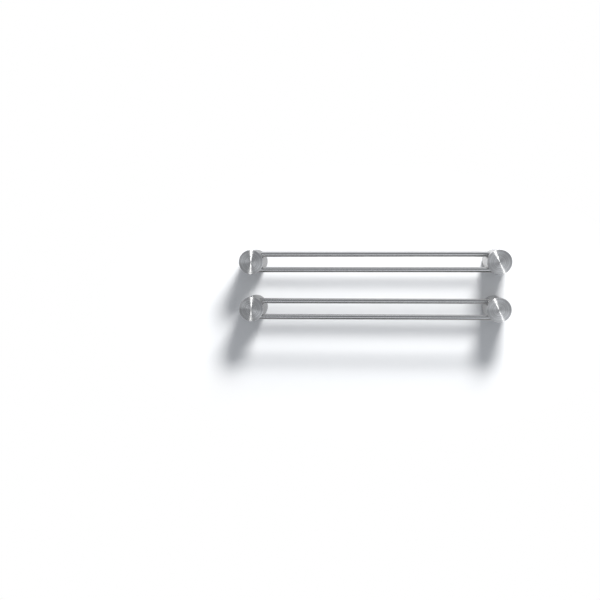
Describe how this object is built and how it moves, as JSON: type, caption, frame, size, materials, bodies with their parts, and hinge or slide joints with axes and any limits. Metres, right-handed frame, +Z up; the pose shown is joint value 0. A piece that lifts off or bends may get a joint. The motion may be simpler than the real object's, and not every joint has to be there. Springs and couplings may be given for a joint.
{
  "type": "towel rack",
  "caption": "Wall-mounted towel rack in satin stainless steel: rails one above the other, each with round bar posts carrying slim rods set at different heights and reaches.",
  "frame": {"origin": "on the wall's surface, midway between the left and right posts and midway between the upper and lower rails", "axes": "+X along the rods, to the right as seen from the room; +Y into the wall; +Z up"},
  "size_m": [0.5, 0.116, 0.1324],
  "materials": {
    "satin_stainless_post": "turned front face with concentric grain, sides turned to a fine satin",
    "satin_stainless_rod": "fine satin, ground round the bar",
    "cast_zinc": "dull die-cast zinc",
    "plated_screw": "bright zinc-plated steel",
    "black_set_screw": "black oxide steel",
    "nylon_plug": "grey moulded nylon"
  },
  "bodies": {
    "root": {"upper_back_rod": "satin_stainless_rod", "upper_front_rod": "satin_stainless_rod", "upper_left_post": "satin_stainless_post", "upper_left_wall_boss": "cast_zinc", "upper_left_wall_screw_inner": "plated_screw", "upper_left_wall_plug_inner": "nylon_plug", "upper_left_wall_screw_outer": "plated_screw", "upper_left_wall_plug_outer": "nylon_plug", "upper_left_back_rod_screw": "black_set_screw", "upper_left_front_rod_screw": "black_set_screw", "upper_left_lock_screw": "black_set_screw", "upper_right_post": "satin_stainless_post", "upper_right_wall_boss": "cast_zinc", "upper_right_wall_screw_inner": "plated_screw", "upper_right_wall_plug_inner": "nylon_plug", "upper_right_wall_screw_outer": "plated_screw", "upper_right_wall_plug_outer": "nylon_plug", "upper_right_back_rod_screw": "black_set_screw", "upper_right_front_rod_screw": "black_set_screw", "upper_right_lock_screw": "black_set_screw", "lower_back_rod": "satin_stainless_rod", "lower_front_rod": "satin_stainless_rod", "lower_left_post": "satin_stainless_post", "lower_left_wall_boss": "cast_zinc", "lower_left_wall_screw_inner": "plated_screw", "lower_left_wall_plug_inner": "nylon_plug", "lower_left_wall_screw_outer": "plated_screw", "lower_left_wall_plug_outer": "nylon_plug", "lower_left_back_rod_screw": "black_set_screw", "lower_left_front_rod_screw": "black_set_screw", "lower_left_lock_screw": "black_set_screw", "lower_right_post": "satin_stainless_post", "lower_right_wall_boss": "cast_zinc", "lower_right_wall_screw_inner": "plated_screw", "lower_right_wall_plug_inner": "nylon_plug", "lower_right_wall_screw_outer": "plated_screw", "lower_right_wall_plug_outer": "nylon_plug", "lower_right_back_rod_screw": "black_set_screw", "lower_right_front_rod_screw": "black_set_screw", "lower_right_lock_screw": "black_set_screw"}
  },
  "joints": []
}
